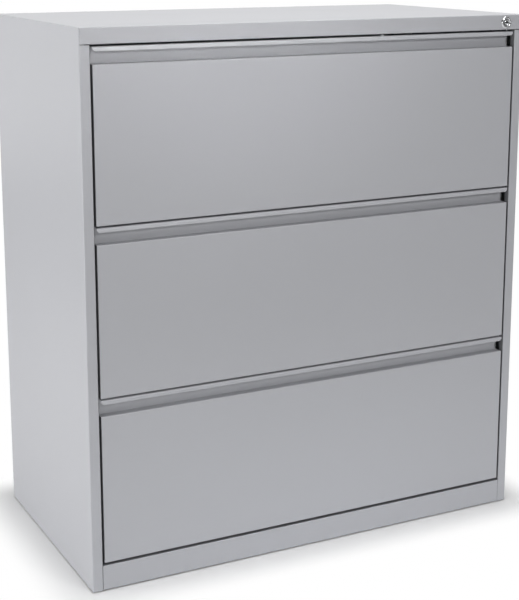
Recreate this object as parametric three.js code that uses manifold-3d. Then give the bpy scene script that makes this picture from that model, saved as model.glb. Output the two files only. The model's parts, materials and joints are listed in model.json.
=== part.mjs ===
// A three-drawer lateral filing cabinet of folded sheet steel, in millimetres.
// X runs to the right, Y to the back and Z up. The origin is on the floor, under the middle of the case.
import * as THREE from "three";
import { mergeVertices } from "three/addons/utils/BufferGeometryUtils.js";
import Module from "manifold-3d";

// Case: driving dimensions
const CASE_WIDTH = 914.4;
const CASE_DEPTH = 489; // drawer faces to the outside of the back panel
const CASE_HEIGHT = 1011; // bottom edge of the sheet metal to the top
const CASE_SHEET = 1;
const CASE_BEND = 0.8; // inside radius of a fold
const FIT = 0.3; // clearance between pieces that sit on each other
const POST_WIDTH = 19.5; // front flange of a side panel
const POST_RETURN = 13; // how far the jamb behind a post runs back
const POST_SEAM = 0.8; // joint between a post's top and the top rail
const REAR_FLANGE = 18;
const TOP_RAIL_HEIGHT = 29;
const TOP_RAIL_RETURN = 20;
const TOP_REAR_FLANGE = 16;
const BACK_SHEET = 0.8;
const BASE_RAIL_HEIGHT = 47.5;
const BASE_RAIL_RETURN = 18;
const BASE_RAIL_LAP = 12; // how far the base rail's bottom return runs under the bottom panel
const BOTTOM_FLANGE = 20;
const BOTTOM_SETBACK = 24.3; // drawer faces to the bottom panel's front flange

// Glides and counterweight
const GLIDE_LIFT = 2; // floor to the bottom edge of the case
const GLIDE_RADIUS = 16;
const GLIDE_EDGE = 1; // chamfer round the foot of a glide
const GLIDE_STUD_RADIUS = 4;
const GLIDE_STUD_LENGTH = 24;
const GLIDE_SIDE_INSET = 60;
const GLIDE_FRONT_INSET = 110;
const GLIDE_REAR_INSET = 40;
const WEIGHT_LENGTH = 600;
const WEIGHT_DEPTH = 110;
const WEIGHT_HEIGHT = 22;
const WEIGHT_CORNER = 8;
const WEIGHT_REAR_GAP = 12;

// Uprights and slides
const UPRIGHT_SHEET = 1.5;
const UPRIGHT_BEND = 1.5;
const UPRIGHT_WIDTH = 50;
const SLIDE_HEIGHT = 45.7;
const SLIDE_THICKNESS = 12.7; // upright to drawer side
const SLIDE_SHEET = 1.2;
const SLIDE_BEND = 0.8;
const SLIDE_RUN = 0.4; // running clearance between nested members
const SLIDE_LIP_SETBACK = 2; // flange edges to the drawer side
const SLIDE_LEVEL = 58; // slide's middle above the drawer front's bottom edge
const SLIDE_REAR_SPACE = 48; // behind the slides

// Drawers: fronts
const DRAWERS = ["bottom", "middle", "top"];
const FRONT_SHEET = 1;
const FRONT_BEND = 0.8;
const SIDE_GAP = 4;
const TOP_GAP = 3.5;
const BETWEEN_GAP = 3.3;
const BOTTOM_GAP = 4.6;
const PULL_HEIGHT = 29.9; // top of the lip to the top of the face
const PULL_DEPTH = 18.2;
const PULL_END = 2.5; // recess wall stops this far short of the front's ends
const LIP_HEIGHT = 7.5;
const LIP_CHAMFER = 4;

// Drawers: bodies
const BODY_SHEET = 0.8;
const BODY_BEND = 1;
const BODY_RISE = 12; // drawer front's bottom edge to the underside of the body
const BODY_DROP = 39; // top of the front to the top of the sides
const SIDE_BOTTOM_FLANGE = 15;
const SIDE_TOP_FLANGE = 10;
const TRAY_REAR_FLANGE = 10;
const LINER_DROP = 6; // top of the front to the top of the inner front
const LINER_FLANGE = 12;
const HANG_SHEET = 1.2;
const HANG_BEND = 1;
const HANG_WIDTH = 9;
const HANG_DROP = 14;
const HANG_SETBACK = 22; // inner front to the front rail's middle
const HANG_SPACING = 311; // between rails, for letter folders
const HANG_END_GAP = 1;

// Lock
const LOCK_SIDE_INSET = 40.5; // right side of the case to the lock's axis
const BEZEL_RADIUS = 12;
const BEZEL_PROUD = 2.5;
const BEZEL_EDGE = 1.2; // chamfer round the bezel
const BARREL_RADIUS = 9.5;
const NUT_RADIUS = 12; // over the corners
const NUT_FLATS = 6;
const NUT_LENGTH = 5;
const PLUG_RADIUS = 6;
const PLUG_SETBACK = 0.5; // plug's face behind the bezel's
const KEYWAY_WIDTH = 7;
const KEYWAY_HEIGHT = 1.4;
const KEYWAY_DEPTH = 8;
const CAM_SHEET = 2;
const CAM_HUB_RADIUS = 7;
const CAM_ARM = 8; // plug's axis to the cam's pin
const CAM_TIP_RADIUS = 3.5;
const CAM_SWING = Math.PI / 2; // quarter turn, half of it below the level
const PIN_RADIUS = 1.5;
const PIN_PLAY = 0.7; // room round the pin in the bar's slot
const PIN_END = 1; // pin stands this far behind the bar
const BAR_SHEET = 2.5;
const BAR_WIDTH = 9;
const BAR_RUN = 0.5; // clearance where the bar runs in the upright
const BAR_TAIL = 20; // below the lowest tab
const ARM_WALL = 3.5; // metal round the pin's slot
const TAB_HEIGHT = 8;
const TAB_RISE = 20; // slide's top to the tab
const TAB_CLEAR = 3; // tab's end to the drawer side
const CATCH_HEIGHT = 12;
const CATCH_SHEET = 3;
const CATCH_EAR = 18; // length of the ear that carries the catch
const CATCH_CLEAR = 3; // catch's end to the jamb
const CATCH_LIFT = 2; // unlocked tab to the catch above it
const CATCH_GAP = 1.5; // bar to the catch behind it

// Facets of round shapes
const BEND_STEPS = 4;
const ROUND_STEPS = 24;
const MERGE_DISTANCE = 1e-3;
const OVERCUT = 1; // cutting blocks run this far past what they cut

// Planes of the case
const HALF_WIDTH = CASE_WIDTH / 2;
const FRONT = -CASE_DEPTH / 2;
const BACK = CASE_DEPTH / 2;
const REAR_FACE = BACK - BACK_SHEET - FIT; // outside of the rear flanges
const REAR_INSIDE = REAR_FACE - CASE_SHEET;
const CASE_BOTTOM = GLIDE_LIFT;
const CASE_TOP = CASE_BOTTOM + CASE_HEIGHT;
const CORNER = CASE_SHEET + CASE_BEND; // outside radius of a fold
const WALL_INSIDE = HALF_WIDTH - CASE_SHEET;
const OPENING_HALF = HALF_WIDTH - POST_WIDTH;
const OPENING_TOP = CASE_TOP - TOP_RAIL_HEIGHT;
const OPENING_BOTTOM = CASE_BOTTOM + BASE_RAIL_HEIGHT;
const JAMB_END = FRONT + POST_RETURN;
const FLOOR_UNDER = CASE_BOTTOM + CASE_SHEET + FIT; // underside of the bottom panel
const FLOOR_TOP = FLOOR_UNDER + CASE_SHEET;
const FLOOR_FRONT = FRONT + BOTTOM_SETBACK;
const FLOOR_REAR = REAR_INSIDE - CASE_BEND; // clear of the fold in the rear corners

// Planes of the uprights, slides and drawers
const UPRIGHT_FRONT = FLOOR_FRONT + CORNER + FIT;
const UPRIGHT_FACE = OPENING_HALF + FIT;
const SLIDE_FRONT = UPRIGHT_FRONT;
const SLIDE_REAR = FLOOR_REAR - SLIDE_REAR_SPACE;
const FRONT_COUNT = DRAWERS.length;
const GAPS = TOP_GAP + BOTTOM_GAP + (FRONT_COUNT - 1) * BETWEEN_GAP;
const FRONT_HEIGHT = (OPENING_TOP - OPENING_BOTTOM - GAPS) / FRONT_COUNT;
const FRONT_PITCH = FRONT_HEIGHT + BETWEEN_GAP;
const FRONT_HALF = OPENING_HALF - SIDE_GAP;
const FRONT_CORNER = FRONT_SHEET + FRONT_BEND;
const FACE_TOP = FRONT_HEIGHT - PULL_HEIGHT;
const PULL_BACK = FRONT + PULL_DEPTH; // seen face of the recess's back wall
const LINER_FRONT = PULL_BACK + FRONT_SHEET + FIT;
const LINER_BACK = LINER_FRONT + BODY_SHEET;
const BODY_HALF = OPENING_HALF - SLIDE_THICKNESS - FIT;
const BODY_FRONT = LINER_BACK + FIT;
const BODY_BACK = SLIDE_REAR;
const BODY_TOP = FRONT_HEIGHT - BODY_DROP;

// Places in the lock
const LOCK_X = HALF_WIDTH - LOCK_SIDE_INSET;
const LOCK_Z = CASE_TOP - TOP_RAIL_HEIGHT / 2; // middle of the top rail
const BAR_X = UPRIGHT_FACE + UPRIGHT_SHEET + FIT;
const BAR_FRONT = UPRIGHT_FRONT + UPRIGHT_SHEET + UPRIGHT_BEND + FIT;
const BAR_BACK = BAR_FRONT + BAR_SHEET;
const CAM_BACK = BAR_FRONT - FIT;
const CAM_FRONT = CAM_BACK - CAM_SHEET;
const BARREL_BACK = CAM_FRONT - FIT;
const BAR_TRAVEL = 2 * CAM_ARM * Math.sin(CAM_SWING / 2);
const PIN_REST_Z = LOCK_Z - BAR_TRAVEL / 2;
const PIN_NEAR = CAM_ARM * Math.cos(CAM_SWING / 2); // pin's least distance to the right of the axis
const SLOT_HALF_HEIGHT = PIN_RADIUS + PIN_PLAY;
const ARM_HALF_HEIGHT = SLOT_HALF_HEIGHT + ARM_WALL;
const ARM_BOTTOM = PIN_REST_Z - ARM_HALF_HEIGHT;
const TAB_LEVEL = SLIDE_LEVEL + SLIDE_HEIGHT / 2 + TAB_RISE; // above a drawer front's bottom edge
const CATCH_LEVEL = TAB_LEVEL + TAB_HEIGHT + CATCH_LIFT;

// Height of each drawer front's bottom edge, from the lowest drawer up
const frontBottoms = DRAWERS.map((_, i) => OPENING_BOTTOM + BOTTOM_GAP + i * FRONT_PITCH);

// Solids

const wasm = await Module();
wasm.setup();

function solidOf(geometry) {
  const bare = new THREE.BufferGeometry();
  bare.setAttribute("position", geometry.getAttribute("position"));
  bare.setIndex(geometry.getIndex());
  const merged = mergeVertices(bare, MERGE_DISTANCE);
  return new wasm.Manifold(
    new wasm.Mesh({
      numProp: 3,
      vertProperties: merged.getAttribute("position").array,
      triVerts: new Uint32Array(merged.getIndex().array),
    }),
  );
}

function geometryOf(solid) {
  const mesh = solid.getMesh();
  const geometry = new THREE.BufferGeometry();
  geometry.setAttribute("position", new THREE.BufferAttribute(mesh.vertProperties, 3));
  geometry.setIndex(new THREE.BufferAttribute(mesh.triVerts, 1));
  return geometry;
}

const join = (first, ...rest) =>
  geometryOf(rest.reduce((sum, piece) => sum.add(solidOf(piece)), solidOf(first)));

const cut = (first, ...rest) =>
  geometryOf(rest.reduce((left, piece) => left.subtract(solidOf(piece)), solidOf(first)));

// A box between two planes on each axis, in either order.
function block([x0, x1], [y0, y1], [z0, z1]) {
  const box = new THREE.BoxGeometry(Math.abs(x1 - x0), Math.abs(y1 - y0), Math.abs(z1 - z0));
  return box.translate((x0 + x1) / 2, (y0 + y1) / 2, (z0 + z1) / 2);
}

// Points of an arc, ends included.
function arcPoints(centre, radius, startAngle, turn) {
  return Array.from({ length: BEND_STEPS + 1 }, (_, k) => {
    const angle = startAngle + (turn * k) / BEND_STEPS;
    const spoke = new THREE.Vector2(Math.cos(angle), Math.sin(angle));
    return spoke.multiplyScalar(radius).add(centre);
  });
}

// The section of a sheet whose middle line follows straight runs, with a round fold at each corner.
function foldedSheet(runs, thickness, insideRadius) {
  const corners = runs.map(([u, v]) => new THREE.Vector2(u, v));
  const left = [];
  const right = [];
  const addEnd = (point, heading) => {
    const normal = new THREE.Vector2(-heading.y, heading.x).multiplyScalar(thickness / 2);
    left.push(point.clone().add(normal));
    right.push(point.clone().sub(normal));
  };
  const headings = corners.slice(1).map((point, i) => point.clone().sub(corners[i]).normalize());
  addEnd(corners[0], headings[0]);
  for (let i = 1; i < headings.length; i++) {
    const [before, after] = [headings[i - 1], headings[i]];
    const turn = Math.atan2(before.cross(after), before.dot(after));
    const hand = Math.sign(turn);
    const radius = insideRadius + thickness / 2;
    const tangent = radius * Math.tan(Math.abs(turn) / 2);
    const start = corners[i].clone().addScaledVector(before, -tangent);
    const toCentre = new THREE.Vector2(-before.y, before.x).multiplyScalar(hand);
    const centre = start.clone().addScaledVector(toCentre, radius);
    const startAngle = Math.atan2(-toCentre.y, -toCentre.x);
    left.push(...arcPoints(centre, radius - (hand * thickness) / 2, startAngle, turn));
    right.push(...arcPoints(centre, radius + (hand * thickness) / 2, startAngle, turn));
  }
  addEnd(corners.at(-1), headings.at(-1));
  return new THREE.Shape([...left, ...right.reverse()]);
}

const UNITS = {
  x: new THREE.Vector3(1, 0, 0),
  y: new THREE.Vector3(0, 1, 0),
  z: new THREE.Vector3(0, 0, 1),
};

// Extrudes an outline drawn in (x, y) along Z, in (y, z) along X, or in (z, x) along Y.
function prism(outline, axis, from, to) {
  const [first, second] = { x: ["y", "z"], y: ["z", "x"], z: ["x", "y"] }[axis];
  const geometry = new THREE.ExtrudeGeometry(outline, { depth: to - from, bevelEnabled: false });
  geometry.translate(0, 0, from);
  return geometry.applyMatrix4(
    new THREE.Matrix4().makeBasis(UNITS[first], UNITS[second], UNITS[axis]),
  );
}

function roundedRectangle(u0, u1, v0, v1, radius) {
  const quarter = Math.PI / 2;
  return new THREE.Shape([
    ...arcPoints(new THREE.Vector2(u1 - radius, v1 - radius), radius, 0, quarter),
    ...arcPoints(new THREE.Vector2(u0 + radius, v1 - radius), radius, quarter, quarter),
    ...arcPoints(new THREE.Vector2(u0 + radius, v0 + radius), radius, 2 * quarter, quarter),
    ...arcPoints(new THREE.Vector2(u1 - radius, v0 + radius), radius, 3 * quarter, quarter),
  ]);
}

// A turned piece: points are (radius, distance along the axis).
const turned = (points) =>
  new THREE.LatheGeometry(points.map(([r, h]) => new THREE.Vector2(r, h)), ROUND_STEPS);

// Case

// side is -1 on the left and 1 on the right.
function sidePanel(side) {
  const middle = CASE_SHEET / 2;
  const wall = side * (HALF_WIDTH - middle);
  const jamb = side * (OPENING_HALF + middle);
  const section = foldedSheet(
    [
      [jamb, JAMB_END],
      [jamb, FRONT + middle],
      [wall, FRONT + middle],
      [wall, REAR_FACE - middle],
      [side * (HALF_WIDTH - REAR_FLANGE), REAR_FACE - middle],
    ],
    CASE_SHEET,
    CASE_BEND,
  );
  const sheet = prism(section, "z", CASE_BOTTOM, CASE_TOP);
  const above = CASE_TOP + OVERCUT;
  const inward = side * (HALF_WIDTH - CORNER);
  const railNotch = block(
    [inward, side * (OPENING_HALF - OVERCUT)],
    [FRONT - OVERCUT, JAMB_END + OVERCUT],
    [OPENING_TOP - POST_SEAM, above],
  );
  const flangeNotch = block(
    [inward, side * (HALF_WIDTH - REAR_FLANGE - OVERCUT)],
    [REAR_FACE - CORNER, REAR_FACE + OVERCUT],
    [CASE_TOP - TOP_REAR_FLANGE - FIT, above],
  );
  return cut(sheet, railNotch, flangeNotch);
}

function topPanel() {
  const middle = CASE_SHEET / 2;
  const section = foldedSheet(
    [
      [FRONT + TOP_RAIL_RETURN, OPENING_TOP + middle],
      [FRONT + middle, OPENING_TOP + middle],
      [FRONT + middle, CASE_TOP - middle],
      [REAR_FACE - middle, CASE_TOP - middle],
      [REAR_FACE - middle, CASE_TOP - TOP_REAR_FLANGE],
    ],
    CASE_SHEET,
    CASE_BEND,
  );
  const reach = WALL_INSIDE - FIT;
  const sheet = prism(section, "x", -reach, reach);
  const cornerCuts = [-1, 1].flatMap((side) => {
    const across = [side * (HALF_WIDTH - CORNER - FIT), side * HALF_WIDTH];
    const up = [OPENING_TOP - OVERCUT, CASE_TOP + OVERCUT];
    return [
      block(across, [FRONT - OVERCUT, FRONT + CORNER + FIT], up),
      block(across, [REAR_FACE - CORNER - FIT, REAR_FACE + OVERCUT], up),
    ];
  });
  const holeRadius = BARREL_RADIUS + FIT;
  const hole = new THREE.CylinderGeometry(holeRadius, holeRadius, 2 * CORNER, ROUND_STEPS);
  return cut(sheet, ...cornerCuts, hole.translate(LOCK_X, FRONT, LOCK_Z));
}

function backPanel() {
  const reach = HALF_WIDTH - CORNER;
  const outline = roundedRectangle(CASE_BOTTOM, CASE_TOP - CORNER, -reach, reach, CORNER);
  return prism(outline, "y", BACK - BACK_SHEET, BACK);
}

function baseRail() {
  const middle = CASE_SHEET / 2;
  const section = foldedSheet(
    [
      [FRONT + BASE_RAIL_RETURN, OPENING_BOTTOM - middle],
      [FRONT + middle, OPENING_BOTTOM - middle],
      [FRONT + middle, CASE_BOTTOM + middle],
      [FLOOR_FRONT + BASE_RAIL_LAP, CASE_BOTTOM + middle],
    ],
    CASE_SHEET,
    CASE_BEND,
  );
  return prism(section, "x", FIT - OPENING_HALF, OPENING_HALF - FIT);
}

const glidePlaces = [-1, 1].flatMap((side) => {
  const x = side * (HALF_WIDTH - GLIDE_SIDE_INSET);
  const hand = side < 0 ? "left" : "right";
  return [
    { name: `glide_front_${hand}`, x, y: FRONT + GLIDE_FRONT_INSET },
    { name: `glide_rear_${hand}`, x, y: BACK - GLIDE_REAR_INSET },
  ];
});

function bottomPanel() {
  const middle = CASE_SHEET / 2;
  const flangeTop = FLOOR_UNDER + BOTTOM_FLANGE;
  const section = foldedSheet(
    [
      [FLOOR_FRONT + middle, flangeTop],
      [FLOOR_FRONT + middle, FLOOR_UNDER + middle],
      [FLOOR_REAR - middle, FLOOR_UNDER + middle],
      [FLOOR_REAR - middle, flangeTop],
    ],
    CASE_SHEET,
    CASE_BEND,
  );
  const reach = WALL_INSIDE - FIT;
  const holeRadius = GLIDE_STUD_RADIUS + FIT;
  const holes = glidePlaces.map(({ x, y }) => {
    const hole = new THREE.CylinderGeometry(holeRadius, holeRadius, 2 * CORNER, ROUND_STEPS);
    return hole.rotateX(Math.PI / 2).translate(x, y, FLOOR_UNDER);
  });
  return cut(prism(section, "x", -reach, reach), ...holes);
}

// A foot with its stud, standing on the floor.
function glide() {
  const padTop = FLOOR_UNDER - FIT;
  const profile = [
    [0, 0],
    [GLIDE_RADIUS - GLIDE_EDGE, 0],
    [GLIDE_RADIUS, GLIDE_EDGE],
    [GLIDE_RADIUS, padTop],
    [GLIDE_STUD_RADIUS, padTop],
    [GLIDE_STUD_RADIUS, padTop + GLIDE_STUD_LENGTH],
    [0, padTop + GLIDE_STUD_LENGTH],
  ];
  return turned(profile).rotateX(Math.PI / 2);
}

function counterweight() {
  const rear = FLOOR_REAR - CORNER - WEIGHT_REAR_GAP;
  const half = WEIGHT_LENGTH / 2;
  const outline = roundedRectangle(-half, half, rear - WEIGHT_DEPTH, rear, WEIGHT_CORNER);
  return prism(outline, "z", FLOOR_TOP + FIT, FLOOR_TOP + FIT + WEIGHT_HEIGHT);
}

// A channel between the bottom panel and the top, open towards the side panel.
function upright(side, front) {
  const middle = UPRIGHT_SHEET / 2;
  const web = side * (UPRIGHT_FACE + middle);
  const edge = side * (WALL_INSIDE - FIT);
  const section = foldedSheet(
    [
      [edge, front + middle],
      [web, front + middle],
      [web, front + UPRIGHT_WIDTH - middle],
      [edge, front + UPRIGHT_WIDTH - middle],
    ],
    UPRIGHT_SHEET,
    UPRIGHT_BEND,
  );
  return prism(section, "z", FLOOR_TOP + FIT, CASE_TOP - CASE_SHEET - FIT);
}

// The front right upright has a slot for each of the lock bar's tabs, and one for its arm.
function lockUpright() {
  const through = [UPRIGHT_FACE - OVERCUT, BAR_X];
  const along = [BAR_FRONT - BAR_RUN, BAR_BACK + BAR_RUN];
  const tabSlots = frontBottoms.map((bottom) => {
    const tab = bottom + TAB_LEVEL;
    return block(through, along, [tab - FIT, tab + TAB_HEIGHT + BAR_TRAVEL + BAR_RUN]);
  });
  const armSlot = block(through, along, [ARM_BOTTOM - FIT, CASE_TOP]);
  return cut(upright(1, UPRIGHT_FRONT), ...tabSlots, armSlot);
}

// Lock

function lockHousing() {
  const bore = PLUG_RADIUS + FIT;
  const profile = [
    [bore, -BEZEL_PROUD],
    [BEZEL_RADIUS - BEZEL_EDGE, -BEZEL_PROUD],
    [BEZEL_RADIUS, BEZEL_EDGE - BEZEL_PROUD],
    [BEZEL_RADIUS, -FIT],
    [BARREL_RADIUS, -FIT],
    [BARREL_RADIUS, BARREL_BACK - FRONT],
    [bore, BARREL_BACK - FRONT],
    [bore, -BEZEL_PROUD],
  ];
  return turned(profile).translate(LOCK_X, FRONT, LOCK_Z);
}

function lockNut() {
  const inside = FRONT + CASE_SHEET + FIT;
  const nut = new THREE.CylinderGeometry(NUT_RADIUS, NUT_RADIUS, NUT_LENGTH, NUT_FLATS);
  const bore = new THREE.CylinderGeometry(
    BARREL_RADIUS + FIT,
    BARREL_RADIUS + FIT,
    NUT_LENGTH + 2 * OVERCUT,
    ROUND_STEPS,
  );
  return cut(nut, bore).translate(LOCK_X, inside + NUT_LENGTH / 2, LOCK_Z);
}

function lockPlug() {
  const face = FRONT - BEZEL_PROUD + PLUG_SETBACK;
  const length = BARREL_BACK - face;
  const plug = new THREE.CylinderGeometry(PLUG_RADIUS, PLUG_RADIUS, length, ROUND_STEPS);
  const keyway = block(
    [LOCK_X - KEYWAY_WIDTH / 2, LOCK_X + KEYWAY_WIDTH / 2],
    [face - OVERCUT, face + KEYWAY_DEPTH],
    [LOCK_Z - KEYWAY_HEIGHT / 2, LOCK_Z + KEYWAY_HEIGHT / 2],
  );
  return cut(plug.translate(LOCK_X, face + length / 2, LOCK_Z), keyway);
}

// A tapered arm on the end of the plug, pointing down and right at rest, with a pin for the lock bar.
function lockCam() {
  const outline = new THREE.Shape();
  const flank = Math.acos((CAM_HUB_RADIUS - CAM_TIP_RADIUS) / CAM_ARM); // where the straight sides begin
  outline.absarc(0, 0, CAM_HUB_RADIUS, flank, -flank, false);
  outline.absarc(CAM_ARM, 0, CAM_TIP_RADIUS, -flank, flank, false);
  const plate = new THREE.ExtrudeGeometry(outline, { depth: CAM_SHEET, bevelEnabled: false });
  const pinLength = CAM_SHEET + 2 * FIT + BAR_SHEET + PIN_END;
  const pin = new THREE.CylinderGeometry(PIN_RADIUS, PIN_RADIUS, pinLength, ROUND_STEPS);
  pin.rotateX(Math.PI / 2).translate(CAM_ARM, 0, CAM_SHEET - pinLength / 2);
  const cam = join(plate, pin);
  cam.rotateX(Math.PI / 2).rotateY(CAM_SWING / 2);
  return cam.translate(LOCK_X, CAM_BACK, LOCK_Z);
}

// A strip behind the right post that the cam lifts, with a tab for each drawer.
function lockBar() {
  const along = [BAR_FRONT, BAR_BACK];
  const strip = [BAR_X, BAR_X + BAR_WIDTH];
  const lowest = frontBottoms[0] + TAB_LEVEL - BAR_TAIL;
  const post = block(strip, along, [lowest, PIN_REST_Z + ARM_HALF_HEIGHT]);
  const tabs = frontBottoms.map((bottom) => {
    const tab = bottom + TAB_LEVEL;
    return block([BODY_HALF + TAB_CLEAR, BAR_X + BAR_WIDTH], along, [tab, tab + TAB_HEIGHT]);
  });
  const slotEnds = [
    LOCK_X + PIN_NEAR - PIN_RADIUS - PIN_PLAY,
    LOCK_X + CAM_ARM + PIN_RADIUS + PIN_PLAY,
  ];
  const arm = block(
    [slotEnds[0] - ARM_WALL, BAR_X + BAR_WIDTH],
    along,
    [ARM_BOTTOM, PIN_REST_Z + ARM_HALF_HEIGHT],
  );
  const slot = block(
    slotEnds,
    [BAR_FRONT - OVERCUT, BAR_BACK + OVERCUT],
    [PIN_REST_Z - SLOT_HALF_HEIGHT, PIN_REST_Z + SLOT_HALF_HEIGHT],
  );
  return cut(join(post, arm, ...tabs), slot);
}

// Drawers, each built with z = 0 at the bottom edge of its front

// One sheet: bottom return, face, shelf, recess wall, top and lip, with a plate folded back at each end.
function drawerFront() {
  const middle = FRONT_SHEET / 2;
  const section = foldedSheet(
    [
      [PULL_BACK, middle],
      [FRONT + middle, middle],
      [FRONT + middle, FACE_TOP - middle],
      [PULL_BACK + middle, FACE_TOP - middle],
      [PULL_BACK + middle, FRONT_HEIGHT - middle],
      [FRONT + middle, FRONT_HEIGHT - middle],
      [FRONT + middle, FRONT_HEIGHT - LIP_HEIGHT],
    ],
    FRONT_SHEET,
    FRONT_BEND,
  );
  const sheet = prism(section, "x", -FRONT_HALF, FRONT_HALF);
  const quarter = Math.PI / 2;
  const foldRadius = FRONT_BEND + middle;
  const foldCentre = FRONT + FRONT_CORNER;
  const endOutline = new THREE.Shape([
    new THREE.Vector2(PULL_BACK, middle),
    new THREE.Vector2(PULL_BACK, FACE_TOP - middle),
    ...arcPoints(new THREE.Vector2(foldCentre, FACE_TOP - FRONT_CORNER), foldRadius, quarter, quarter),
    ...arcPoints(new THREE.Vector2(foldCentre, FRONT_CORNER), foldRadius, 2 * quarter, quarter),
  ]);
  const ends = [
    prism(endOutline, "x", -FRONT_HALF, FRONT_SHEET - FRONT_HALF),
    prism(endOutline, "x", FRONT_HALF - FRONT_SHEET, FRONT_HALF),
  ];
  const behindWall = PULL_BACK + FRONT_SHEET + OVERCUT;
  const overTop = FRONT_HEIGHT + OVERCUT;
  const lipBottom = FRONT_HEIGHT - LIP_HEIGHT;
  const trims = [-1, 1].flatMap((side) => {
    const end = side * (FRONT_HALF + OVERCUT);
    const across = [side * (FRONT_HALF - PULL_END), end];
    const chamfer = new THREE.Shape([
      new THREE.Vector2(lipBottom - OVERCUT, end),
      new THREE.Vector2(lipBottom - OVERCUT, side * (FRONT_HALF - LIP_CHAMFER - OVERCUT)),
      new THREE.Vector2(lipBottom + LIP_CHAMFER + OVERCUT, end),
    ]);
    return [
      block(across, [PULL_BACK, behindWall], [FACE_TOP - FRONT_CORNER, overTop]),
      block(across, [FRONT + FRONT_CORNER, behindWall], [FRONT_HEIGHT - FRONT_CORNER, overTop]),
      prism(chamfer, "y", FRONT - OVERCUT, FRONT + FRONT_CORNER),
    ];
  });
  return cut(join(sheet, ...ends), ...trims);
}

function drawerLiner() {
  const middle = BODY_SHEET / 2;
  const top = FRONT_HEIGHT - LINER_DROP;
  const section = foldedSheet(
    [
      [LINER_FRONT + middle, BODY_RISE],
      [LINER_FRONT + middle, top - middle],
      [LINER_FRONT + LINER_FLANGE, top - middle],
    ],
    BODY_SHEET,
    BODY_BEND,
  );
  return prism(section, "x", -BODY_HALF, BODY_HALF);
}

function drawerSide(side) {
  const middle = BODY_SHEET / 2;
  const wall = side * (BODY_HALF - middle);
  const section = foldedSheet(
    [
      [BODY_RISE + middle, side * (BODY_HALF - SIDE_BOTTOM_FLANGE)],
      [BODY_RISE + middle, wall],
      [BODY_TOP - middle, wall],
      [BODY_TOP - middle, side * (BODY_HALF - SIDE_TOP_FLANGE)],
    ],
    BODY_SHEET,
    BODY_BEND,
  );
  return prism(section, "y", BODY_FRONT, BODY_BACK);
}

function drawerTray() {
  const middle = BODY_SHEET / 2;
  const floor = BODY_RISE + BODY_SHEET + FIT + middle;
  const top = BODY_TOP - BODY_SHEET - BODY_BEND - FIT;
  const section = foldedSheet(
    [
      [BODY_FRONT, floor],
      [BODY_BACK - middle, floor],
      [BODY_BACK - middle, top - middle],
      [BODY_BACK + TRAY_REAR_FLANGE, top - middle],
    ],
    BODY_SHEET,
    BODY_BEND,
  );
  const reach = BODY_HALF - BODY_SHEET - BODY_BEND - FIT;
  return prism(section, "x", -reach, reach);
}

// An upturned channel that lies on the top flanges of the drawer sides.
function hangRail(y) {
  const underside = BODY_TOP + FIT;
  const web = underside + HANG_SHEET / 2;
  const half = HANG_WIDTH / 2;
  const section = foldedSheet(
    [
      [y - half, web - HANG_DROP],
      [y - half, web],
      [y + half, web],
      [y + half, web - HANG_DROP],
    ],
    HANG_SHEET,
    HANG_BEND,
  );
  const reach = BODY_HALF - HANG_END_GAP;
  const legCuts = [-1, 1].map((side) =>
    block(
      [side * (BODY_HALF - SIDE_TOP_FLANGE - FIT), side * BODY_HALF],
      [y - HANG_WIDTH, y + HANG_WIDTH],
      [underside - HANG_DROP - OVERCUT, underside],
    ),
  );
  return cut(prism(section, "x", -reach, reach), ...legCuts);
}

// An ear that rises from the right inner slide member, and the tab on it that a lifted lock bar holds.
function lockCatch() {
  const face = OPENING_HALF - SLIDE_THICKNESS;
  const front = BAR_BACK + CATCH_GAP;
  const top = CATCH_LEVEL + CATCH_HEIGHT;
  return [
    block([face, face + SLIDE_SHEET], [front, front + CATCH_EAR], [SLIDE_LEVEL, top]),
    block([face, OPENING_HALF - CATCH_CLEAR], [front, front + CATCH_SHEET], [CATCH_LEVEL, top]),
  ];
}

// Three nested channels: outer and middle open towards the drawer, inner opens towards the case.
function slideMember(member, side) {
  const middle = SLIDE_SHEET / 2;
  const step = SLIDE_SHEET + SLIDE_RUN;
  const drawerFace = OPENING_HALF - SLIDE_THICKNESS;
  const lipEdge = drawerFace + SLIDE_LIP_SETBACK;
  const { nest, web, edge } = {
    outer: { nest: 0, web: OPENING_HALF - middle, edge: lipEdge },
    mid: { nest: 1, web: OPENING_HALF - step - middle, edge: lipEdge },
    inner: { nest: 2, web: drawerFace + middle, edge: OPENING_HALF - 2 * step },
  }[member];
  const half = SLIDE_HEIGHT / 2 - nest * step - middle;
  const section = foldedSheet(
    [
      [SLIDE_LEVEL - half, side * edge],
      [SLIDE_LEVEL - half, side * web],
      [SLIDE_LEVEL + half, side * web],
      [SLIDE_LEVEL + half, side * edge],
    ],
    SLIDE_SHEET,
    SLIDE_BEND,
  );
  const channel = prism(section, "y", SLIDE_FRONT, SLIDE_REAR);
  return member === "inner" && side > 0 ? join(channel, ...lockCatch()) : channel;
}

// Finishes

const FINISHES = {
  paint: { color: 0xa9abb0, roughness: 0.45, metalness: 0.1 },
  zinc: { color: 0xb9bcbe, roughness: 0.35, metalness: 0.9 },
  chrome: { color: 0xd6d8da, roughness: 0.12, metalness: 1 },
  iron: { color: 0x4a4b4d, roughness: 0.7, metalness: 0.6 },
  plastic: { color: 0x1e1f21, roughness: 0.55, metalness: 0 },
};

function piece(name, geometry, finish) {
  const mesh = new THREE.Mesh(geometry, new THREE.MeshStandardMaterial(FINISHES[finish]));
  mesh.name = name;
  return mesh;
}

// Assembly

const SIDES = [
  ["left", -1],
  ["right", 1],
];

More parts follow.
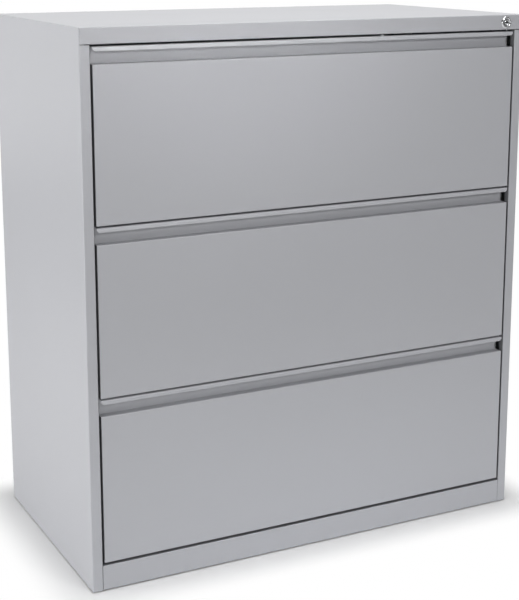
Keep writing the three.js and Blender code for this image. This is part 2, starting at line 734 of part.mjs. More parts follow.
function caseGroup() {
  const group = new THREE.Group();
  const rearUpright = SLIDE_REAR - UPRIGHT_WIDTH;
  group.add(
    ...SIDES.map(([hand, side]) => piece(`side_panel_${hand}`, sidePanel(side), "paint")),
    piece("top_panel", topPanel(), "paint"),
    piece("back_panel", backPanel(), "paint"),
    piece("bottom_panel", bottomPanel(), "paint"),
    piece("base_rail", baseRail(), "paint"),
    piece("upright_front_left", upright(-1, UPRIGHT_FRONT), "zinc"),
    piece("upright_front_right", lockUpright(), "zinc"),
    ...SIDES.map(([hand, side]) => piece(`upright_rear_${hand}`, upright(side, rearUpright), "zinc")),
    piece("counterweight", counterweight(), "iron"),
  );
  for (const { name, x, y } of glidePlaces) {
    const foot = piece(name, glide(), "plastic");
    foot.position.set(x, y, 0);
    group.add(foot);
  }
  return group;
}

function lockGroup() {
  const group = new THREE.Group();
  group.add(
    piece("lock_housing", lockHousing(), "chrome"),
    piece("lock_nut", lockNut(), "zinc"),
    piece("lock_plug", lockPlug(), "chrome"),
    piece("lock_cam", lockCam(), "zinc"),
    piece("lock_bar", lockBar(), "zinc"),
  );
  return group;
}

function drawerGroup(level, bottom) {
  const group = new THREE.Group();
  const frontRail = LINER_BACK + HANG_SETBACK;
  group.add(
    piece(`drawer_front_${level}`, drawerFront(), "paint"),
    piece(`drawer_liner_${level}`, drawerLiner(), "paint"),
    piece(`drawer_tray_${level}`, drawerTray(), "paint"),
    piece(`hang_rail_front_${level}`, hangRail(frontRail), "zinc"),
    piece(`hang_rail_rear_${level}`, hangRail(frontRail + HANG_SPACING), "zinc"),
  );
  for (const [hand, side] of SIDES) {
    group.add(piece(`drawer_side_${hand}_${level}`, drawerSide(side), "paint"));
    for (const member of ["outer", "mid", "inner"]) {
      group.add(piece(`slide_${member}_${hand}_${level}`, slideMember(member, side), "zinc"));
    }
  }
  group.position.z = bottom;
  return group;
}

const cabinet = new THREE.Group();
cabinet.add(caseGroup(), lockGroup());
DRAWERS.forEach((level, i) => cabinet.add(drawerGroup(level, frontBottoms[i])));

export default cabinet;
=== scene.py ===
"""Finishes a lateral filing cabinet: folded painted steel, drawers on slides, a lock and a studio."""

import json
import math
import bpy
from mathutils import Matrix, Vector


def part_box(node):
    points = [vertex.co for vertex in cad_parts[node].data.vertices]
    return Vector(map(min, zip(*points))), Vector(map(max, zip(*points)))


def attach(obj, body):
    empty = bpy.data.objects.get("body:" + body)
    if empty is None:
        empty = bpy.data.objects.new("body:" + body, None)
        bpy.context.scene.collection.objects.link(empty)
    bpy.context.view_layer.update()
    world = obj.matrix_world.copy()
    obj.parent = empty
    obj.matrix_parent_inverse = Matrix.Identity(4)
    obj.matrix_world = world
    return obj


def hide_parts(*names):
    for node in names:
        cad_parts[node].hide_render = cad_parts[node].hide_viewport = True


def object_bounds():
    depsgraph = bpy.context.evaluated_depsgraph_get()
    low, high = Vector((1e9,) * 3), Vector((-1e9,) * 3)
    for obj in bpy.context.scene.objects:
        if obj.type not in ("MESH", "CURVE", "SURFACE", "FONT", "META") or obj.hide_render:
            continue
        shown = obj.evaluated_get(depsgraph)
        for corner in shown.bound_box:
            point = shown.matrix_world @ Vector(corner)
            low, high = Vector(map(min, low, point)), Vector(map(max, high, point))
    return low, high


bl_info = {
    "name": "Lateral filing cabinet",
    "version": (1, 0, 0),
    "blender": (4, 5, 0),
    "location": "3D View > Sidebar > Cabinet",
    "description": "Finishes a filing cabinet of folded sheet steel and sets it in a studio",
    "category": "Object",
}

from contextlib import contextmanager

import bmesh
import bpy
from bpy.props import FloatProperty, FloatVectorProperty, IntProperty, PointerProperty
from mathutils import Matrix, Vector

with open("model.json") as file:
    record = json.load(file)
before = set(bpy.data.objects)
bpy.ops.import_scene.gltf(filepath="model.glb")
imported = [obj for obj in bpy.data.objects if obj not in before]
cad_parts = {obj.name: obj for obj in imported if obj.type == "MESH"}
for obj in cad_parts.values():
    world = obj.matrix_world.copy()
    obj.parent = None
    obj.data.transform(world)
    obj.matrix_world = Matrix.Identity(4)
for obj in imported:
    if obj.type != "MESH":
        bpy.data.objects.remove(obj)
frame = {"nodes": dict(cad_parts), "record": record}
CAD_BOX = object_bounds()

# Names shared with the frame
RECORD = frame["record"]
SLOT_OF = {part["node"]: part["material_slot"] for part in RECORD["subparts"]}
BODY_OF = {node: body for body, nodes in RECORD["behaviour"]["bodies"].items() for node in nodes}
LEVELS = ("bottom", "middle", "top")
ENDS = ("front", "rear")
HANDS = {"left": -1, "right": 1}

FRONT_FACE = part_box("side_panel_left")[0].y

# Working limits, in metres and radians
MERGE_DISTANCE = 1e-6
NODE_MERGE_DISTANCE = 1e-5
FLAT_ANGLE = math.radians(1)
SHARP_ANGLE = math.radians(40)
CUT_THROUGH = 0.02
GRAIN_HEIGHT = 0.0004
FULL_TURN = 2 * math.pi
QUARTER_TURN = math.pi / 2
X_AXIS = Vector((1, 0, 0))
Y_AXIS = Vector((0, 1, 0))
Z_AXIS = Vector((0, 0, 1))


# Sizes and colours that a user would change

class CabinetSizes(bpy.types.PropertyGroup):
    """Sizes of the details on the cabinet"""

    painted_edge: FloatProperty(
        name="Painted edge", description="Radius on the cut edges of painted sheet",
        default=0.00028, unit="LENGTH", precision=5)
    plated_edge: FloatProperty(
        name="Plated edge", description="Radius on the cut edges of plated parts",
        default=0.00015, unit="LENGTH", precision=5)
    weight_edge: FloatProperty(
        name="Weight edge", description="Radius on the edges of the counterweight",
        default=0.0012, unit="LENGTH", precision=4)
    lip_lean: FloatProperty(
        name="Lip lean", description="How far the lip over a finger pull leans forward for its height",
        default=0.18)
    bead_width: FloatProperty(
        name="Bead width", description="Width of a bead pressed into a drawer's bottom",
        default=0.034, unit="LENGTH", precision=3)
    bead_height: FloatProperty(
        name="Bead height", description="How far a bead stands up",
        default=0.0022, unit="LENGTH", precision=4)
    bead_slope: FloatProperty(
        name="Bead slope", description="Width of a bead's sloping side",
        default=0.007, unit="LENGTH", precision=3)
    bead_inset: FloatProperty(
        name="Bead inset", description="Distance from a bead's end to the drawer's side",
        default=0.06, unit="LENGTH", precision=3)
    bead_count: IntProperty(
        name="Beads", description="Beads across a drawer's bottom", default=3, min=1)
    screw_radius: FloatProperty(
        name="Screw head", description="Radius of a screw's head",
        default=0.0042, unit="LENGTH", precision=4)
    rivet_radius: FloatProperty(
        name="Rivet head", description="Radius of a rivet's head on the back",
        default=0.0055, unit="LENGTH", precision=4)
    rivet_pitch: FloatProperty(
        name="Rivet pitch", description="Greatest distance between rivets on the back",
        default=0.16, unit="LENGTH", precision=3)
    slot_width: FloatProperty(
        name="Slot width", description="Width of a punched slot in an upright",
        default=0.0045, unit="LENGTH", precision=4)
    slot_height: FloatProperty(
        name="Slot height", description="Height of a punched slot in an upright",
        default=0.014, unit="LENGTH", precision=4)
    slot_pitch: FloatProperty(
        name="Slot pitch", description="Distance between punched slots in an upright",
        default=0.0318, unit="LENGTH", precision=4)
    keyway_width: FloatProperty(
        name="Keyway width", description="Width of the lock's keyway",
        default=0.0068, unit="LENGTH", precision=4)
    keyway_height: FloatProperty(
        name="Keyway height", description="Height of the lock's keyway",
        default=0.0022, unit="LENGTH", precision=4)
    bump_place: FloatProperty(
        name="Bump place", description="Distance of the bump on the top drawer's edge from the middle",
        default=0.136, unit="LENGTH", precision=3)
    bump_size: FloatVectorProperty(
        name="Bump size",
        description="Half width, half depth and height of the bump on the top drawer's edge",
        default=(0.0045, 0.0030, 0.0028), subtype="XYZ", unit="LENGTH", precision=4)


class CabinetFinishes(bpy.types.PropertyGroup):
    """Colours of the cabinet's finishes"""

    paint: FloatVectorProperty(
        name="Paint", description="Light silver-grey powder coat",
        default=(0.445, 0.450, 0.475), subtype="COLOR", min=0, max=1)
    # Painted shade: the paint scaled by this share on faces inside the case and on the drawer fronts' ends,
    # standing in for the shade in the gaps.
    painted_shade_share: FloatProperty(
        name="Painted shade share", description="Brightness of the thin coat inside against the outside",
        default=0.40, min=0, max=1)
    zinc: FloatVectorProperty(
        name="Zinc", description="Bright zinc plate on slides and rails",
        default=(0.60, 0.61, 0.62), subtype="COLOR", min=0, max=1)
    chrome: FloatVectorProperty(
        name="Chrome", description="Polished chrome plate on the lock",
        default=(0.74, 0.75, 0.77), subtype="COLOR", min=0, max=1)
    iron: FloatVectorProperty(
        name="Primer", description="Dark primer on the counterweight",
        default=(0.045, 0.046, 0.05), subtype="COLOR", min=0, max=1)
    nylon: FloatVectorProperty(
        name="Nylon", description="Black moulded nylon of the glides",
        default=(0.015, 0.015, 0.017), subtype="COLOR", min=0, max=1)


class CabinetStudio(bpy.types.PropertyGroup):
    """The studio that the cabinet stands in"""

    camera_place: FloatVectorProperty(
        name="Camera", description="Where the camera stands",
        default=(-1.2023, -2.3707, 1.1510), subtype="XYZ", unit="LENGTH")
    camera_heading: FloatProperty(
        name="Heading", description="How far the camera looks to the right of straight back",
        default=math.radians(27.003), subtype="ANGLE")
    camera_tilt: FloatProperty(
        name="Tilt", description="How far the camera looks down",
        default=math.radians(11.588), subtype="ANGLE")
    lens: FloatProperty(
        name="Lens", description="Focal length on a 36 mm sensor", default=80.485, unit="CAMERA")
    shift: FloatVectorProperty(
        name="Shift", description="Lens shift that keeps the uprights nearly upright",
        default=(-0.0019, -0.138), size=2)
    floor_size: FloatProperty(
        name="Floor", description="Width of the floor", default=9.0, unit="LENGTH")
    floor_colour: FloatVectorProperty(
        name="Floor colour", description="Pale floor",
        default=(0.90, 0.90, 0.90), subtype="COLOR", min=0, max=1)
    shadow_reach: FloatProperty(
        name="Shadow reach", description="Distance from the cabinet at which its shadow has faded to white",
        default=0.10, unit="LENGTH")
    ambient: FloatProperty(
        name="Ambient", description="Strength of the even light from all round", default=0.08)
    room_dark: FloatProperty(
        name="Dark room", description="Brightness of the room in front of the cabinet in reflections",
        default=0.2)


# Picking and shaping

def pick(*pieces):
    """Select only these pieces; the first one is active."""
    bpy.ops.object.select_all(action="DESELECT")
    for piece in pieces:
        piece.select_set(True)
    bpy.context.view_layer.objects.active = pieces[0]


@contextmanager
def editing(piece):
    """Edit mode on one piece, with everything selected at the start."""
    pick(piece)
    bpy.ops.object.mode_set(mode="EDIT")
    bpy.ops.mesh.select_mode(type="VERT")
    bpy.ops.mesh.select_all(action="SELECT")
    yield
    bpy.ops.object.mode_set(mode="OBJECT")


def select_faces(piece, wanted):
    """In edit mode, select the faces whose centre and normal pass a test."""
    bpy.ops.mesh.select_mode(type="FACE")
    bpy.ops.mesh.select_all(action="DESELECT")
    shape = bmesh.from_edit_mesh(piece.data)
    for face in shape.faces:
        if wanted(face.calc_center_median(), face.normal):
            face.select_set(True)
    bmesh.update_edit_mesh(piece.data)


def apply_modifier(piece, kind, **settings):
    """Add one modifier to a piece and apply it."""
    pick(piece)
    modifier = piece.modifiers.new(kind.title(), kind)
    for name, value in settings.items():
        setattr(modifier, name, value)
    bpy.ops.object.modifier_apply(modifier=modifier.name)


def smooth_shade(piece):
    """Shade a piece smooth between its sharp edges."""
    pick(piece)
    bpy.ops.object.shade_smooth_by_angle(angle=SHARP_ANGLE)


def round_edges(piece, radius):
    """Round the sharp edges, and shade the folds smooth without bending the light on flat faces."""
    apply_modifier(
        piece, "BEVEL", width=radius, segments=2, limit_method="ANGLE", angle_limit=SHARP_ANGLE)
    smooth_shade(piece)
    apply_modifier(piece, "WEIGHTED_NORMAL", keep_sharp=True)


def subtract(piece, cutter):
    """Cut one piece out of another and remove the cutter."""
    apply_modifier(piece, "BOOLEAN", operation="DIFFERENCE", object=cutter, solver="EXACT")
    bpy.data.objects.remove(cutter)


def merged_copy(node):
    """A copy of a node's solid, with its triangles merged into flat faces."""
    piece = bpy.data.objects.new(f"{node}_finished", frame["nodes"][node].data.copy())
    bpy.context.scene.collection.objects.link(piece)
    piece.data.materials.clear()
    pick(piece)
    bpy.ops.mesh.customdata_custom_splitnormals_clear()
    with editing(piece):
        bpy.ops.mesh.remove_doubles(threshold=NODE_MERGE_DISTANCE)
        bpy.ops.mesh.dissolve_limited(angle_limit=FLAT_ANGLE)
    return piece


def start_piece(name, add_primitive, **settings):
    """A named primitive to shape, with nothing else selected."""
    bpy.ops.object.select_all(action="DESELECT")
    add_primitive(**settings)
    piece = bpy.context.active_object
    piece.name = name
    return piece


def stretch(piece, scale):
    """Scale a piece and put its place and scale in its mesh."""
    piece.scale = scale
    pick(piece)
    bpy.ops.object.transform_apply(location=True, rotation=True, scale=True)


def block(name, low, high):
    """A box between two corners, to cut with."""
    piece = start_piece(name, bpy.ops.mesh.primitive_cube_add, size=1, location=(low + high) / 2)
    stretch(piece, high - low)
    return piece


def turned(name, profile, steps, closed=False):
    """Turn a profile of (radius, height) points round the Z axis."""
    piece = start_piece(name, bpy.ops.mesh.primitive_plane_add, size=1)
    points = [Vector((radius, 0, height)) for radius, height in profile]
    if closed:
        points.append(points[0])
    with editing(piece):
        bpy.ops.mesh.merge(type="CENTER")
        bpy.ops.transform.translate(value=points[0])
        for before, after in zip(points, points[1:]):
            bpy.ops.mesh.extrude_vertices_move(TRANSFORM_OT_translate={"value": after - before})
        bpy.ops.mesh.select_all(action="SELECT")
        bpy.ops.mesh.spin(steps=steps, angle=FULL_TURN, center=(0, 0, 0), axis=Z_AXIS)
        bpy.ops.mesh.select_all(action="SELECT")
        bpy.ops.mesh.remove_doubles(threshold=MERGE_DISTANCE)
        bpy.ops.mesh.normals_make_consistent(inside=False)
    return piece


def arc(centre, radius, start, end, steps):
    """Points of an arc in the (radius, height) plane of a turned piece, ends included."""
    angles = [start + (end - start) * i / steps for i in range(steps + 1)]
    return [(centre[0] + radius * math.cos(a), centre[1] + radius * math.sin(a)) for a in angles]


def place_along(piece, axis, place):
    """Turn a piece made along Z to an axis, and set its origin at a place."""
    piece.data.transform(Matrix.Translation(place) @ Z_AXIS.rotation_difference(axis).to_matrix().to_4x4())


def copies(pattern, name, places):
    """One piece made of copies of a pattern, each turned to an axis and set at a place."""
    made = []
    for axis, place in places:
        piece = pattern.copy()
        piece.data = pattern.data.copy()
        bpy.context.scene.collection.objects.link(piece)
        place_along(piece, Vector(axis), Vector(place))
        made.append(piece)
    pick(*made)
    bpy.ops.object.join()
    made[0].name = name
    return made[0]


def spaced(start, end, pitch):
    """Evenly spaced places from start to end, no further apart than the pitch."""
    count = math.ceil((end - start) / pitch)
    return [start + (end - start) * i / count for i in range(count + 1)]


# Dressing and riding

def dress(piece, slot, body):
    """Give a piece its finish and the body that carries it."""
    if not piece.data.materials:
        piece.data.materials.append(finish(slot))
    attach(piece, body)


def two_finishes(piece, main, other, wanted):
    """Give a piece its main finish, and another one on the faces that pass a test."""
    piece.data.materials.append(finish(main))
    piece.data.materials.append(finish(other))
    with editing(piece):
        select_faces(piece, wanted)
        piece.active_material_index = 1
        bpy.ops.object.material_slot_assign()


# Mask for the painted shade: faces inside the case get the darker inner finish.
def painted_shade_inside_case(place, normal):
    """Whether a face of the case is behind its outside faces."""
    low, high = CAD_BOX
    depth = 0.0006
    across = low[0] + depth < place.x < high[0] - depth
    along = FRONT_FACE + depth < place.y < high[1] - depth
    return across and along and place.z < high[2] - depth


def stand_for(piece, node):
    """A finished piece takes its node's place, finish and body."""
    dress(piece, SLOT_OF[node], BODY_OF[node])
    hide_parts(node)


def finish_nodes(nodes, edge):
    """Merged copies of these nodes with their edges rounded stand for them."""
    for node in nodes:
        piece = merged_copy(node)
        round_edges(piece, edge)
        stand_for(piece, node)


# Finishes

def set_inputs(node, values):
    """Set a node's inputs by name, with _ for a space."""
    for name, value in values.items():
        node.inputs[name.replace("_", " ")].default_value = value


def add_node(tree, kind, links=(), **values):
    """A shader node with its input values set and its inputs linked."""
    node = tree.nodes.new(kind)
    set_inputs(node, values)
    for output, name in links:
        tree.links.new(output, node.inputs[name])
    return node


def calculate(tree, kind, operation, *operands):
    """A math node that works on sockets and plain values, in order."""
    node = tree.nodes.new(kind)
    node.operation = operation
    for socket, operand in zip(node.inputs, operands):
        if isinstance(operand, bpy.types.NodeSocket):
            tree.links.new(operand, socket)
        else:
            socket.default_value = operand
    return node


def mix_shaders(tree, share, first, second):
    """The first shader where the share is 0 and the second where it is 1."""
    return add_node(
        tree, "ShaderNodeMixShader", [(share, 0), (first.outputs[0], 1), (second.outputs[0], 2)])


def new_group(name, inputs, outputs):
    """A shader node group with named sockets."""
    group = bpy.data.node_groups.new(name, "ShaderNodeTree")
    for label, kind, default in inputs:
        group.interface.new_socket(label, in_out="INPUT", socket_type=kind).default_value = default
    for label, kind in outputs:
        group.interface.new_socket(label, in_out="OUTPUT", socket_type=kind)
    return group, group.nodes.new("NodeGroupInput"), group.nodes.new("NodeGroupOutput")


def noise(tree, place, scale, detail):
    """A noise texture whose place and scale come from other sockets."""
    return add_node(tree, "ShaderNodeTexNoise", [(place, "Vector"), (scale, "Scale")], Detail=detail)


def remap(tree, value, low, high, **limits):
    """Spreads a value between two limits; it runs from 0 to 1 where its own limits aren't given."""
    return add_node(tree, "ShaderNodeMapRange", [(value, "Value")], To_Min=low, To_Max=high, **limits)


def grain_group():
    """Shared surface grain: slow change of shade, fine change of gloss, and a height for the bump."""
    name = "Surface grain"
    if name in bpy.data.node_groups:
        return bpy.data.node_groups[name]
    group, given, made = new_group(
        name,
        [
            ("Colour", "NodeSocketColor", (0.5, 0.5, 0.5, 1)),
            ("Roughness", "NodeSocketFloat", 0.4),
            ("Shade", "NodeSocketFloat", 0.03),
            ("Gloss", "NodeSocketFloat", 0.05),
            ("Cloud Scale", "NodeSocketFloat", 4.0),
            ("Grain Scale", "NodeSocketFloat", 900.0),
            ("Stretch", "NodeSocketVector", (1, 1, 1)),
        ],
        [("Colour", "NodeSocketColor"), ("Roughness", "NodeSocketFloat"), ("Height", "NodeSocketFloat")],
    )
    place = add_node(group, "ShaderNodeTexCoord").outputs["Object"]
    stretched = add_node(
        group, "ShaderNodeMapping", [(place, "Vector"), (given.outputs["Stretch"], "Scale")]).outputs[0]
    clouds = noise(group, place, given.outputs["Cloud Scale"], detail=3)
    grain = noise(group, stretched, given.outputs["Grain Scale"], detail=2)
    slow = remap(group, clouds.outputs["Fac"], -1, 1).outputs[0]
    shade = calculate(group, "ShaderNodeMath", "MULTIPLY", slow, given.outputs["Shade"])
    brightness = calculate(group, "ShaderNodeMath", "ADD", shade.outputs[0], 1)
    tint = add_node(
        group, "ShaderNodeHueSaturation",
        [(given.outputs["Colour"], "Color"), (brightness.outputs[0], "Value")])
    fine = remap(group, grain.outputs["Fac"], -1, 1).outputs[0]
    gloss = calculate(
        group, "ShaderNodeMath", "MULTIPLY_ADD", fine, given.outputs["Gloss"], given.outputs["Roughness"])
    group.links.new(tint.outputs[0], made.inputs["Colour"])
    group.links.new(gloss.outputs[0], made.inputs["Roughness"])
    group.links.new(grain.outputs["Fac"], made.inputs["Height"])
    return group


def grained(name, colour, roughness, metallic, bump, **grain):
    """A material whose colour, gloss and bump come from the shared grain."""
    material = bpy.data.materials.new(name)
    material.use_nodes = True
    tree = material.node_tree
    shader = tree.nodes["Principled BSDF"]
    shader.inputs["Metallic"].default_value = metallic
    surface = tree.nodes.new("ShaderNodeGroup")
    surface.node_tree = grain_group()
    set_inputs(surface, {"Colour": (*colour, 1), "Roughness": roughness, **grain})
    relief = add_node(
        tree, "ShaderNodeBump", [(surface.outputs["Height"], "Height")],
        Strength=bump, Distance=GRAIN_HEIGHT)
    tree.links.new(surface.outputs["Colour"], shader.inputs["Base Color"])
    tree.links.new(surface.outputs["Roughness"], shader.inputs["Roughness"])
    tree.links.new(relief.outputs[0], shader.inputs["Normal"])
    return material


def powder_coat(colours):
    """Light silver-grey powder coat: satin, with a fine orange peel."""
    return grained(
        "Powder coat", colours.paint, roughness=0.36, metallic=0.0, bump=0.10,
        Shade=0.012, Gloss=0.05, Cloud_Scale=3.0, Grain_Scale=620.0)


def painted_shade_coat(colours):
    """The same coat darkened as painted shade, inside the case and on the ends of the drawer fronts,
    standing in for the shade in the gaps.
    """
    shaded = [shade * colours.painted_shade_share for shade in colours.paint]
    return grained(
        "Painted shade coat", shaded, roughness=0.5, metallic=0.0, bump=0.10,
        Shade=0.02, Gloss=0.05, Cloud_Scale=5.0, Grain_Scale=620.0)


def zinc_plate(colours):
    """Bright zinc plate with the lines of the rolled strip."""
    return grained(
        "Zinc plate", colours.zinc, roughness=0.36, metallic=1.0, bump=0.12,
        Shade=0.06, Gloss=0.10, Cloud_Scale=26.0, Grain_Scale=420.0, Stretch=(1, 0.12, 1))


def chrome_plate(colours):
    """Polished chrome plate with faint polishing marks."""
    return grained(
        "Chrome plate", colours.chrome, roughness=0.13, metallic=1.0, bump=0.02,
        Shade=0.03, Gloss=0.04, Cloud_Scale=120.0, Grain_Scale=1500.0)


def dark_primer(colours):
    """Dark primer over a rough rolled bar."""
    return grained(
        "Dark primer", colours.iron, roughness=0.62, metallic=0.0, bump=0.5,
        Shade=0.12, Gloss=0.10, Cloud_Scale=18.0, Grain_Scale=260.0)


def black_nylon(colours):
    """Black moulded nylon."""
    return grained(
        "Black nylon", colours.nylon, roughness=0.48, metallic=0.0, bump=0.2,
        Shade=0.08, Gloss=0.06, Cloud_Scale=30.0, Grain_Scale=700.0)


FINISHES = {
    "paint": powder_coat,
    # The inner finish is painted shade: the paint darkened for faces inside the case and in the gaps.
    "inner": painted_shade_coat,
    "zinc": zinc_plate,
    "chrome": chrome_plate,
    "iron": dark_primer,
    "plastic": black_nylon,
}
made_finishes = {}


def finish(slot):
    """The material of a finish, made once."""
    if slot not in made_finishes:
        made_finishes[slot] = FINISHES[slot](bpy.context.scene.cabinet_finishes)
    return made_finishes[slot]


# Operators, one for each piece or group of like pieces

class CABINET_OT_case(bpy.types.Operator):
    """Finish the painted panels of the case"""

    bl_idname = "cabinet.case"
    bl_label = "Case panels"

    def execute(self, context):
        panels = ["side_panel_left", "side_panel_right", "top_panel"]
        panels += ["back_panel", "bottom_panel", "base_rail"]
        for node in panels:
            piece = merged_copy(node)
            round_edges(piece, context.scene.cabinet_sizes.painted_edge)
            # Faces inside the case get the darker inner finish, which is painted shade.
            two_finishes(piece, "paint", "inner", painted_shade_inside_case)
            stand_for(piece, node)
        return {"FINISHED"}


class CABINET_OT_uprights(bpy.types.Operator):
    """Punch the rows of slots in the four uprights"""

    bl_idname = "cabinet.uprights"
    bl_label = "Uprights"

    def execute(self, context):
        for hand in HANDS:
            for end in ENDS:
                self.upright(context.scene.cabinet_sizes, f"upright_{end}_{hand}", hand)
        return {"FINISHED"}

    def upright(self, sizes, node, hand):
        """An upright with slots cut through its web, all along its height."""
        low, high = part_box(node)
        piece = merged_copy(node)
        web = low.x if hand == "right" else high.x
        half = Vector((CUT_THROUGH / 2, sizes.slot_width / 2, sizes.slot_height / 2))
        cutters = []
        for z in spaced(low.z + sizes.slot_pitch, high.z - sizes.slot_pitch, sizes.slot_pitch):
            centre = Vector((web, (low.y + high.y) / 2, z))
            cutters.append(block("slot", centre - half, centre + half))
        pick(*cutters)
        bpy.ops.object.join()
        subtract(piece, cutters[0])
        round_edges(piece, sizes.plated_edge)
        stand_for(piece, node)


class CABINET_OT_base(bpy.types.Operator):
    """Finish the counterweight and turn the four glides"""

    bl_idname = "cabinet.base"
    bl_label = "Weight and glides"

    def execute(self, context):
        finish_nodes(["counterweight"], context.scene.cabinet_sizes.weight_edge)
        for hand in HANDS:
            for end in ENDS:
                self.glide(f"glide_{end}_{hand}")
        return {"FINISHED"}

    def glide(self, node):
        """A moulded foot with a rounded edge, and a stud with its thread."""
        low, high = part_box(node)
        foot = (high.x - low.x) / 2
        foot_top = 0.003
        edge = 0.0012
        hollow = 0.0003
        stud = 0.0039
        thread = 0.0005
        turn = 0.00125
        profile = [(0, hollow), (foot - 4 * edge, hollow), (foot - 3 * edge, 0)]
        profile += arc((foot - edge, edge), edge, -QUARTER_TURN, 0, steps=4)
        profile += [(foot, foot_top - edge / 2), (foot - edge / 2, foot_top), (stud, foot_top)]
        height = foot_top
        while height + turn < high.z - turn:
            profile += [(stud - thread, height + turn / 2), (stud, height + turn)]
            height += turn
        profile += [(stud - thread, high.z), (0, high.z)]
        piece = turned(f"{node}_finished", profile, steps=40)
        place_along(piece, Z_AXIS, Vector(((low.x + high.x) / 2, (low.y + high.y) / 2, 0)))
        smooth_shade(piece)
        stand_for(piece, node)


class CABINET_OT_back_rivets(bpy.types.Operator):
    """Set the rivets that hold the back panel"""

    bl_idname = "cabinet.back_rivets"
    bl_label = "Back rivets"

    def execute(self, context):
        sizes = context.scene.cabinet_sizes
        low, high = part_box("back_panel")
        inset = 0.009
        from_corner = 0.027
        from_side = 0.081
        pattern = self.rivet(sizes.rivet_radius)
        places = []
        for z in spaced(low.z + from_corner, high.z - from_corner, sizes.rivet_pitch):
            places += [(Y_AXIS, (x, high.y, z)) for x in (low.x + inset, high.x - inset)]
        for x in spaced(low.x + from_side, high.x - from_side, sizes.rivet_pitch):
            places += [(Y_AXIS, (x, high.y, z)) for z in (high.z - inset, low.z + inset)]
        rivets = copies(pattern, "back_rivets", places)
        bpy.data.objects.remove(pattern)
        smooth_shade(rivets)
        dress(rivets, "paint", "case")
        return {"FINISHED"}

    def rivet(self, radius):
        """A low head with a flat top and a sloping shoulder, sunk a little in the panel."""
        height = 0.32 * radius
        sunk = 0.0002
        flat = (0.45 * radius, height)
        shoulder = (0.8 * radius, 0.75 * height)
        skirt = (radius, 0.15 * height)
        return turned("rivet", [(0, height), flat, shoulder, skirt, (radius, -sunk), (0, -sunk)], steps=24)


class CABINET_OT_lock(bpy.types.Operator):
    """Turn the lock's bezel and plug, and finish its works"""

    bl_idname = "cabinet.lock"
    bl_label = "Lock"

    def execute(self, context):
        sizes = context.scene.cabinet_sizes
        low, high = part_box("lock_housing")
        centre = Vector(((low.x + high.x) / 2, low.y, (low.z + high.z) / 2))
        plug_low, plug_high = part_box("lock_plug")
        plug = (plug_high.x - plug_low.x) / 2
        self.housing(centre, (high.x - low.x) / 2, plug, high.y - low.y)
        self.plug(sizes, centre, plug, plug_low.y - low.y, plug_high.y - low.y)
        finish_nodes(["lock_nut", "lock_cam", "lock_bar"], sizes.plated_edge)
        return {"FINISHED"}

    def housing(self, centre, bezel, plug, length):
        """A round-backed bezel on a barrel, bored for the plug; heights run back from its front."""
        play = 0.0003
        seat = 0.0022
        edge = 0.0004
        barrel = 0.0095
        ring = 0.0026
        crest_inset = 0.0030
        ring_start = math.radians(-150)
        ring_end = math.radians(-25)
        profile = [(plug + play, length), (plug + play, seat - edge)]
        profile += arc((bezel - crest_inset, ring), ring, ring_start, ring_end, steps=12)
        profile += [(bezel, seat - edge), (bezel, seat), (barrel, seat), (barrel, length)]
        piece = turned("lock_housing_finished", profile, steps=64, closed=True)
        place_along(piece, Y_AXIS, centre)
        smooth_shade(piece)
        stand_for(piece, "lock_housing")

    def plug(self, sizes, centre, radius, face, length):
        """A plug with a domed face inside a raised rim, and a keyway through it."""
        rim = 0.0006
        dome = 0.0007
        dome_steps = 6
        dome_edge = radius - 2.5 * rim
        rim_inside = radius - 1.6 * rim
        rim_outside = radius - 0.4 * rim
        shares = [i / dome_steps for i in range(dome_steps + 1)]
        profile = [(dome_edge * share, face + rim - dome * (1 - share * share)) for share in shares]
        profile += [(rim_inside, face), (rim_outside, face), (radius, face + rim)]
        profile += [(radius, length), (0, length)]
        piece = turned("lock_plug_finished", profile, steps=64)
        place_along(piece, Y_AXIS, centre)
        depth = 0.008
        half = Vector((sizes.keyway_width / 2, depth, sizes.keyway_height / 2))
        subtract(piece, block("keyway", centre - half, centre + half))
        reach = sizes.keyway_width / 2 + MERGE_DISTANCE

        # The keyway's walls get the black nylon finish as painted shade, so that the slot reads dark.
        def painted_shade_in_keyway(place, normal):
            behind_face = centre.y + face + 2 * rim < place.y < centre.y + depth + rim
            return behind_face and (place - centre).xz.length < reach

        two_finishes(piece, "chrome", "plastic", painted_shade_in_keyway)
        smooth_shade(piece)
        stand_for(piece, "lock_plug")


